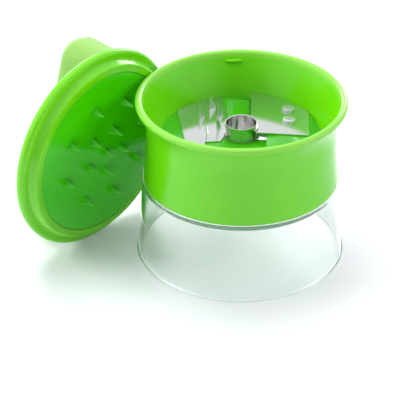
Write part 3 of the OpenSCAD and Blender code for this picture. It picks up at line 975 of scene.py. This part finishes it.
@dataclass
class BladeSet:
    """The deck with its plates, teeth, screws and core tube."""

    deck_top: float = DECK_TOP
    deck_bottom: float = DECK_BOTTOM
    flange_h: float = 2.0
    deck_edge: float = 0.2
    plate_t: float = 0.6
    plate_edge: float = 0.08
    blade_bottom: float = 63.2
    blade_t: float = 0.8
    blade_edge: float = 0.06
    blade_roll: float = 2.8
    blade_pitch: float = 2.0
    blade_middle: Point = (18.7, 17.0)
    tooth_h: float = 6.5
    tooth_w: float = 4.0
    tooth_lean: float = -0.67
    tooth_tilt: float = 10.0
    tooth_first_r: float = 11.6
    tooth_pitch: float = 4.3
    tooth_angles: tuple[float, ...] = (154.0, 176.0, 121.0, 140.0, 119.0)
    tooth_tip_w: float = 0.25
    blade_screws: tuple[Point, ...] = ((22.5, 21.4), (22.7, 10.0))
    blade_screw: ScrewSize = ScrewSize(3.0, 1.3, 1.4, 5.0)
    plate_screws: tuple[Point, ...] = ((-21.6, -13.0), (-20.4, -22.5))
    plate_screw: ScrewSize = ScrewSize(3.0, 1.3, 1.4, 4.4)
    deck_screw_r: float = 40.1
    deck_screw_count: int = 4
    deck_screw_turn: float = 45.0
    deck_screw: ScrewSize = ScrewSize(1.9, 1.2, 0.9, 5.5)
    tube_r: float = 7.6
    tube_wall: float = 0.6
    tube_top: float = 68.7
    tube_foot: float = 51.0
    tube_collar_r: float = 9.4
    tube_collar_h: float = 0.8

    def blade_tilt(self) -> Matrix:
        """Gives the place of the slicing blade's underside, which falls away to the right and the back."""
        turn = Matrix.Rotation(math.radians(self.blade_roll), 4, "Y")
        lean = Matrix.Rotation(math.radians(-self.blade_pitch), 4, "X")
        return Matrix.Translation(Vector((*self.blade_middle, self.blade_bottom)) * MM) @ turn @ lean

    def deck(self) -> Object:
        """Makes the deck, with the soft edges of a moulding."""
        work = cad_copy("blade_deck")
        soften(work, self.deck_edge)
        return finish_mesh("blade_deck_moulding", work, SOFT_CREASE)

    def blade(self) -> Object:
        """Makes the slicing blade, with its edges just broken."""
        work = cad_copy("slicing_blade")
        soften(work, self.blade_edge, angle=50.0, segments=1)
        return finish_mesh("slicing_blade_sheet", work, SHEET_CREASE)

    def plate(self) -> Object:
        """Makes the tooth plate's sheet from the node's flat underside."""
        work = cad_copy("tooth_plate")
        low = min(v.co.z for v in work.verts)
        tall = [f for f in work.faces if any(v.co.z > low + WELD * 5 for v in f.verts)]
        bmesh.ops.delete(work, geom=tall, context="FACES")
        under, rim = list(work.faces), [e for e in work.edges if e.is_boundary]
        up = Vector((0.0, 0.0, self.plate_t * MM))
        raised = {v: work.verts.new(v.co + up) for v in list(work.verts)}
        for face in under:
            work.faces.new([raised[v] for v in face.verts])
        for first, last in (e.verts for e in rim):
            work.faces.new((first, last, raised[last], raised[first]))
        bmesh.ops.recalc_face_normals(work, faces=work.faces)
        soften(work, self.plate_edge, segments=1)
        return finish_mesh("tooth_plate_sheet", work, SHEET_CREASE)

    def teeth(self, shop: Workshop) -> Object:
        """Makes the teeth, each along its own circle round the tube."""
        places, turns = [], []
        for i, angle in enumerate(self.tooth_angles):
            radius = self.tooth_first_r + i * self.tooth_pitch + self.plate_t / 2
            turn = math.radians(angle)
            level = self.deck_top + self.plate_t / 2
            places.append((radius * math.cos(turn), radius * math.sin(turn), level))
            turns.append(angle)
        values = {
            "Width": self.tooth_w,
            "Height": self.tooth_h + self.plate_t / 2,
            "Lean": self.tooth_lean,
            "Tip width": self.tooth_tip_w,
            "Thickness": self.plate_t,
            "Tilt": self.tooth_tilt,
            "Finish": shop.ground,
        }
        piece = shop.teeth.run("plate_teeth", place_points("plate_teeth", places, turns), values)
        settle(piece.data, POINT_CREASE)
        return piece

    def tube(self, shop: Workshop) -> Object:
        """Makes the core tube, chamfered inside its mouth, with a rolled collar under the deck."""
        inner = self.tube_r - self.tube_wall
        corners = [
            (inner, self.tube_foot, 0.12),
            (self.tube_r, self.tube_foot, 0.12),
            (self.tube_r, self.deck_bottom - self.tube_collar_h, 0.1),
            (self.tube_collar_r, self.deck_bottom - self.tube_collar_h, 0.3),
            (self.tube_collar_r, self.deck_bottom, 0.3),
            (self.tube_r, self.deck_bottom, 0.1),
            (self.tube_r, self.tube_top, 0.12),
            (self.tube_r - self.tube_wall / 2, self.tube_top, 0.06),
            (inner, self.tube_top - self.tube_wall / 2, 0.1),
        ]
        return shop.turning.turn("core_tube_drawn", rounded(corners, 4, 0.15), shop.finishes[Slot.TUBE])

    def build(self, shop: Workshop) -> None:
        """Makes the deck and everything that is fastened to it."""
        shop.fit(self.deck(), Body.SPIRALIZER, Slot.DECK, "blade_deck")
        shop.fit(self.blade(), Body.SPIRALIZER, Slot.BLADE, "slicing_blade")
        shop.fit(self.plate(), Body.SPIRALIZER, Slot.BLADE, "tooth_plate")
        shop.fit(self.teeth(shop), Body.SPIRALIZER, Slot.BLADE, "tooth_plate", finish=shop.ground)
        shop.fit(self.tube(shop), Body.SPIRALIZER, Slot.TUBE, "core_tube")
        middle = self.blade_middle
        on_blade = [(x - middle[0], y - middle[1], self.blade_t) for x, y in self.blade_screws]
        on_plate = [(x, y, self.deck_top + self.plate_t) for x, y in self.plate_screws]
        radius, count = self.deck_screw_r, self.deck_screw_count
        turns = [math.radians(self.deck_screw_turn + 360 * i / count) for i in range(count)]
        under = self.deck_bottom - self.flange_h
        on_deck = [(radius * math.cos(t), -radius * math.sin(t), -under) for t in turns]
        upside_down = Matrix.Rotation(math.pi, 4, "X")
        sets = (
            ("blade_pan_screws", on_blade, self.blade_screw, self.blade_tilt(), "slicing_blade_screws"),
            ("plate_pan_screws", on_plate, self.plate_screw, Matrix(), "tooth_plate_screws"),
            ("deck_pan_screws", on_deck, self.deck_screw, upside_down, "deck_screws"),
        )
        for name, places, size, stand, node in sets:
            screws = shop.screw_set(name, places, size)
            screws.data.transform(stand)
            shop.fit(screws, Body.SPIRALIZER, Slot.SCREW, node)


@dataclass
class ClearSleeve:
    """The clear sleeve that the bowl stands on, open at both ends, with a bead round its foot."""

    top_r: float = 46.9
    seam_h: float = SEAM_H
    wall: float = 2.0
    foot_r: float = 50.0
    foot_h: float = 1.2
    bead: float = 0.7
    step_z: float = 36.3
    foot_chamfer: float = 1.2

    def section(self) -> list[Point]:
        """Draws the sleeve's section, anticlockwise from the inside of its foot."""
        above = self.foot_h + self.bead
        side_r = self.foot_r - self.bead
        return rounded(
            [
                (side_r - self.wall + self.foot_chamfer, 0.0, 0.2),
                (self.foot_r, 0.0, 0.5),
                (self.foot_r, self.foot_h, 0.5),
                (side_r, above, 0.5),
                (self.top_r, self.seam_h, 0.5),
                (self.top_r - self.wall, self.seam_h, 0.4),
                (self.top_r - self.wall, self.step_z, 0.6),
                (side_r - self.wall, self.foot_chamfer, 0.2),
            ]
        )

    def build(self, shop: Workshop) -> None:
        """Makes the sleeve."""
        sleeve = shop.turning.turn("clear_sleeve_shell", self.section(), shop.finishes[Slot.CLEAR])
        shop.fit(sleeve, Body.SPIRALIZER, Slot.CLEAR, "clear_sleeve")


@dataclass
class FoodHolder:
    """The food holder: cap, spike disc, grip and screws, made on its own axis and then stood on its edge."""

    flange_r: float = 50.3
    flange_t: float = 5.0
    plug_root_r: float = 46.2
    plug_r: float = 44.6
    plug_face: float = 6.5
    plug_edge_r: float = 1.2
    recess_r: float = 41.0
    disc_r: float = 40.8
    disc_t: float = 2.4
    leg_r: float = 37.8
    leg_t: float = 2.0
    spike_h: float = 6.5
    spike_r: float = 2.9
    spike_tip_r: float = 0.12
    spike_edge: float = 0.1
    spike_inner_r: float = 11.2
    spike_inner_count: int = 5
    spike_outer_r: float = 25.7
    spike_outer_count: int = 8
    spike_turn: float = 60.0
    grip_half_l: float = 49.0
    grip_half_w: float = 11.9
    grip_back: float = -23.9
    grip_corner_r: float = 10.2
    grip_edge_r: float = 6.0
    grip_cover: float = 2.5
    grip_turn: float = -13.7
    # Steps of the grip: round a corner, along a side, up its wall and round its back edge.
    grip_corner_steps: int = 12
    grip_side_steps: int = 16
    grip_wall_steps: int = 6
    grip_edge_steps: int = 8
    grip_flat_step: float = 1.5
    grip_screw_pitch: float = 29.0
    grip_screw: ScrewSize = ScrewSize(3.0, 2.0, 1.5, 12.0)
    pivot_screw: ScrewSize = ScrewSize(4.0, 2.0, 2.0, 14.0)
    pivot_lift: float = 0.05

    def stand(self) -> Matrix:
        """Gives the holder's place from the joint that it turns on: +Z along the spikes, +Y up its face."""
        joint = next(j for j in frame["joints"] if j["name"] == "holder_turn")
        ahead = Vector(joint["axis"]).normalized()
        right = Vector((0.0, 0.0, 1.0)).cross(ahead).normalized()
        up = ahead.cross(right)
        turn = Matrix((right, up, ahead)).transposed().to_4x4()
        return Matrix.Translation(Vector(joint["pos_m"])) @ turn

    def cap_section(self) -> list[Point]:
        """Draws the cap's section, from its back to its web, anticlockwise."""
        half = self.flange_t / 2
        corners = [
            (0.0, -half, 0.0),
            (self.flange_r, -half, half),
            (self.flange_r, half, half),
            (self.plug_root_r, half, 0.35),
            (self.plug_r, self.plug_face, self.plug_edge_r),
            (self.recess_r, self.plug_face, 0.25),
            (self.recess_r, 0.0, 0.4),
            (0.0, 0.0, 0.0),
        ]
        return rounded(corners, 8)

    def disc_section(self) -> list[Point]:
        """Draws the spike disc's section with its standing ring, anticlockwise."""
        under = self.plug_face - self.disc_t
        corners = [
            (0.0, under, 0.0),
            (self.leg_r - self.leg_t, under, 0.3),
            (self.leg_r - self.leg_t, 0.0, 0.2),
            (self.leg_r, 0.0, 0.2),
            (self.leg_r, under, 0.3),
            (self.disc_r, under, 0.3),
            (self.disc_r, self.plug_face, 0.3),
            (0.0, self.plug_face, 0.0),
        ]
        return rounded(corners)

    def spikes(self, shop: Workshop) -> Object:
        """Makes the spikes, rooted in the disc, with their edges just broken."""
        root = self.disc_t / 4
        values = {
            "Inner count": self.spike_inner_count,
            "Outer count": self.spike_outer_count,
            "Inner radius": self.spike_inner_r,
            "Outer radius": self.spike_outer_r,
            "Turn": self.spike_turn,
            "Foot radius": self.spike_r,
            "Height": self.spike_h + root,
            "Tip radius": self.spike_tip_r,
            "Finish": shop.finishes[Slot.SPIKES],
        }
        piece = shop.spikes.run("disc_spikes", place_points("disc_spikes", [(0.0, 0.0, 0.0)]), values)
        work = bmesh.new()
        work.from_mesh(piece.data)
        bmesh.ops.remove_doubles(work, verts=work.verts, dist=WELD)
        soften(work, self.spike_edge)
        work.to_mesh(piece.data)
        work.free()
        settle(piece.data, POINT_CREASE)
        piece.data.transform(Matrix.Translation((0.0, 0.0, (self.plug_face - root) * MM)))
        return piece

    def grip_outline(self, inset: float) -> list[Point]:
        """Draws the grip's rounded outline.

        Args:
            inset: Distance inside the largest outline, in millimetres.

        Returns:
            The outline's points, anticlockwise, always the same number.
        """
        corner = self.grip_corner_r - inset
        across = self.grip_half_w - self.grip_corner_r
        along = self.grip_half_l - self.grip_corner_r
        points: list[Point] = []
        for k, (sx, sy) in enumerate(((1, 1), (-1, 1), (-1, -1), (1, -1))):
            for j in range(self.grip_corner_steps + 1):
                turn = math.radians(90 * k + 90 * j / self.grip_corner_steps)
                points.append((sx * across + corner * math.cos(turn), sy * along + corner * math.sin(turn)))
            if k % 2 == 1:
                x = sx * (across + corner)
                steps = self.grip_side_steps
                points.extend((x, sy * along * (1 - 2 * j / steps)) for j in range(1, steps))
        return points

    def grip(self) -> Object:
        """Makes the grip's cover, a shell with a round back edge, open towards the flange."""
        front = -self.flange_t / 2
        edge = self.grip_edge_r
        steps = self.grip_wall_steps
        rings = [(0.0, front + (self.grip_back + edge - front) * k / steps) for k in range(steps + 1)]
        for k in range(1, self.grip_edge_steps + 1):
            turn = math.radians(90 * k / self.grip_edge_steps)
            rings.append((edge * (1 - math.cos(turn)), self.grip_back + edge * (1 - math.sin(turn))))
        rings.append((edge + self.grip_flat_step, self.grip_back))
        shell = [(self.grip_cover, front), (self.grip_cover, self.grip_back + self.grip_cover)]
        work = bmesh.new()
        loops = [
            [work.verts.new((x * MM, y * MM, z * MM)) for x, y in self.grip_outline(inset)]
            for inset, z in list(reversed(shell)) + rings
        ]
        for low, high in zip(loops, loops[1:]):
            for i in range(len(low)):
                j = (i + 1) % len(low)
                work.faces.new((low[i], low[j], high[j], high[i]))
        work.faces.new(loops[-1])
        work.faces.new(loops[0])
        turn = Matrix.Rotation(math.radians(self.grip_turn), 3, "Z")
        bmesh.ops.rotate(work, matrix=turn, verts=work.verts)
        return finish_mesh("grip_soft_cover", work, SOFT_CREASE)

    def build(self, shop: Workshop) -> None:
        """Makes the holder's pieces and stands them where the photograph has them."""
        stand = self.stand()
        make, finishes = shop.turning.turn, shop.finishes
        cap = make("holder_cap_moulding", self.cap_section(), finishes[Slot.HOLDER], closed=False)
        disc = make("spike_disc_plate", self.disc_section(), finishes[Slot.SPIKES], closed=False)
        turn = math.radians(self.grip_turn)
        reach = (-self.grip_screw_pitch * math.sin(turn), self.grip_screw_pitch * math.cos(turn))
        places = [(reach[0], reach[1], 0.0), (-reach[0], -reach[1], 0.0)]
        screws = shop.screw_set("grip_pan_screws", places, self.grip_screw)
        pivot = shop.screw_set("pivot_pan_screw", [(0.0, 0.0, self.pivot_lift)], self.pivot_screw)
        pieces = (
            (cap, Body.HOLDER, Slot.HOLDER, "holder_cap"),
            (disc, Body.HOLDER, Slot.SPIKES, "spike_disc"),
            (self.spikes(shop), Body.HOLDER, Slot.SPIKES, "spike_disc"),
            (self.grip(), Body.HOLDER, Slot.GRIP, "grip_cover"),
            (screws, Body.HOLDER, Slot.SCREW, "grip_screws"),
            (pivot, Body.PIVOT, Slot.SCREW, "holder_pivot_screw"),
        )
        for piece, body, slot, node in pieces:
            piece.data.transform(stand)
            shop.fit(piece, body, slot, node)
        core = frame["nodes"]["grip_core"]
        core.data.materials.clear()
        core.data.materials.append(finishes[Slot.CORE])
        LOG.info("grip_core: kept, inside the cover")


@dataclass
class Studio:
    """A white table in soft light, and the photograph's camera."""

    frame_px: float = 400.0
    focal_px: float = 2091.5
    axis_px: Point = (240.3, 172.4)
    sensor: float = 36.0
    clip_m: Point = (0.05, 50.0)
    elevation: float = 30.74
    distance: float = 1000.0
    look_z: float = 40.845
    lamp_aim_z: float = 50.0
    floor_half: float = 4.0
    floor_drop: float = 0.05
    floor_grain: float = 40.0
    floor_roughness: Point = (0.3, 0.38)
    floor_glow: float = 0.15
    # The light of the surroundings on the viewer's side and at the back, and how far height counts as back.
    front_light: float = 0.1
    back_light: float = 0.7
    back_from: float = -0.2
    back_to: float = 0.8
    height_share: float = 0.3
    # What gloss shows of the room behind the camera, and where that room ends.
    room_light: float = 0.12
    room_from: float = -0.95
    room_to: float = -0.65

    def seen(self, graph: Graph, mirrored: object) -> NodeSocket:
        """Gives how much of a place shows to the camera, by itself, in gloss or through clear plastic.

        Args:
            graph: The tree that asks.
            mirrored: How much of it shows in gloss, as a value or a socket.

        Returns:
            A socket that is 0 once the light has met a matt surface.
        """
        path = graph.add("ShaderNodeLightPath").outputs
        plain = graph.math("MAXIMUM", path["Is Camera Ray"], path["Is Transmission Ray"])
        gloss = graph.math("MULTIPLY", path["Is Glossy Ray"], mirrored)
        fresh = graph.math("LESS_THAN", path["Diffuse Depth"], 0.5)
        return graph.math("MULTIPLY", graph.math("MAXIMUM", plain, gloss), fresh)

    def floor(self) -> None:
        """Makes the floor: a pale, slightly glossy board that looks white away from the shadow."""
        board = Surface("white_studio_board")
        material = board.dress(
            {
                "Base Color": linear("#e8ebee"),
                "Roughness": board.ramp(board.noise(self.floor_grain), *self.floor_roughness),
                "Emission Color": linear("#f4f6ff"),
                "Emission Strength": board.math("MULTIPLY", self.seen(board, 1.0), self.floor_glow),
            }
        )
        mesh = bpy.data.meshes.new("studio_floor")
        h = self.floor_half
        mesh.from_pydata([(-h, -h, 0), (h, -h, 0), (h, h, 0), (-h, h, 0)], [], [(0, 1, 2, 3)])
        mesh.transform(Matrix.Translation((0.0, 0.0, -self.floor_drop * MM)))
        mesh.materials.append(material)
        put("studio_floor", mesh)

    def world(self) -> None:
        """Makes the surroundings: bright above and behind the part, dim in front, white where seen."""
        world = bpy.data.worlds.new("studio_surroundings")
        world.use_nodes = True
        graph = Graph(world.node_tree)
        graph.tree.nodes.clear()
        way = graph.add("ShaderNodeTexCoord").outputs["Generated"]
        part = graph.add("ShaderNodeSeparateXYZ", {0: way}).outputs
        back = graph.math("MULTIPLY_ADD", part["Z"], self.height_share, part["Y"])
        smooth = {"interpolation_type": "SMOOTHSTEP"}
        level = graph.ramp(back, self.front_light, self.back_light, self.back_from, self.back_to, **smooth)
        # Behind the camera there is a dim room, which only gloss that faces the viewer shows.
        room = graph.ramp(part["Y"], self.room_light, 1.0, self.room_from, self.room_to, **smooth)
        strength = graph.math("MAXIMUM", level, self.seen(graph, room))
        white = {"Color": (1.0, 1.0, 1.0, 1.0), "Strength": strength}
        graph.add("ShaderNodeOutputWorld", {"Surface": graph.first("ShaderNodeBackground", white)})
        bpy.context.scene.world = world

    def lamp(self, name: str, kind: Light, place: Place, size: float, power: float) -> None:
        """Hangs a square lamp that looks at the part.

        Args:
            name: The lamp's name.
            kind: What it does.
            place: Where it hangs, in metres.
            size: Its side, in metres.
            power: Its power, in watts.
        """
        lamp = bpy.data.lights.new(name, "AREA")
        lamp.size = size
        lamp.energy = power
        hung = bpy.data.objects.new(name, lamp)
        hung.location = place
        hung.visible_glossy = kind is Light.GLOSS_CARD
        hung.visible_diffuse = kind is Light.SOFT_BOX
        aim = Vector((0.0, 0.0, self.lamp_aim_z * MM)) - Vector(place)
        hung.rotation_euler = aim.to_track_quat("-Z", "Y").to_euler()
        bpy.context.scene.collection.objects.link(hung)

    def camera(self) -> None:
        """Sets the camera so that the part falls where the photograph has it."""
        tilt = math.radians(self.elevation)
        ahead = Vector((0.0, math.cos(tilt), -math.sin(tilt)))
        up = Vector((0.0, math.sin(tilt), math.cos(tilt)))
        middle = self.frame_px / 2
        aim = (
            ahead
            + Vector((1.0, 0.0, 0.0)) * ((middle - self.axis_px[0]) / self.focal_px)
            - up * ((middle - self.axis_px[1]) / self.focal_px)
        )
        data = bpy.data.cameras.new("photo_camera")
        data.sensor_width = self.sensor
        data.lens = data.sensor_width * self.focal_px / self.frame_px
        data.clip_start, data.clip_end = self.clip_m
        camera = bpy.data.objects.new("photo_camera", data)
        camera.location = (Vector((0.0, 0.0, self.look_z)) - ahead * self.distance) * MM
        camera.rotation_euler = aim.to_track_quat("-Z", "Y").to_euler()
        bpy.context.scene.collection.objects.link(camera)
        bpy.context.scene.camera = camera

    def build(self) -> None:
        """Makes the whole studio."""
        self.floor()
        self.world()
        self.lamp("overhead_soft_box", Light.SOFT_BOX, (-0.15, 0.35, 1.25), 0.8, 10.0)
        self.lamp("left_soft_box", Light.SOFT_BOX, (-1.1, 0.0, 0.7), 0.7, 10.5)
        self.lamp("right_soft_box", Light.SOFT_BOX, (1.2, -0.1, 0.7), 0.6, 7.5)
        self.lamp("low_front_fill", Light.SOFT_BOX, (-0.15, -1.2, 0.14), 0.5, 4.5)
        self.lamp("left_gloss_card", Light.GLOSS_CARD, (-0.55, 1.3, 0.55), 0.6, 5.0)
        self.lamp("right_gloss_card", Light.GLOSS_CARD, (0.55, 1.3, 0.55), 0.6, 6.0)
        self.camera()
        bpy.context.scene.view_settings.view_transform = "Standard"
        LOG.info("studio: floor, surroundings, lamps and camera")


def main() -> None:
    """Builds the sub-assemblies and the studio in order."""
    logging.basicConfig(level=logging.INFO, format="%(name)s: %(message)s")
    finishes = Finishes.mix()
    shop = Workshop(finishes.made, finishes.ground, TurningTool(), ScrewTool(), SpikeTool(), ToothTool())
    for assembly in (Bowl(), BladeSet(), ClearSleeve(), FoodHolder()):
        assembly.build(shop)
    Studio().build()


if __name__ == "__main__":
    main()
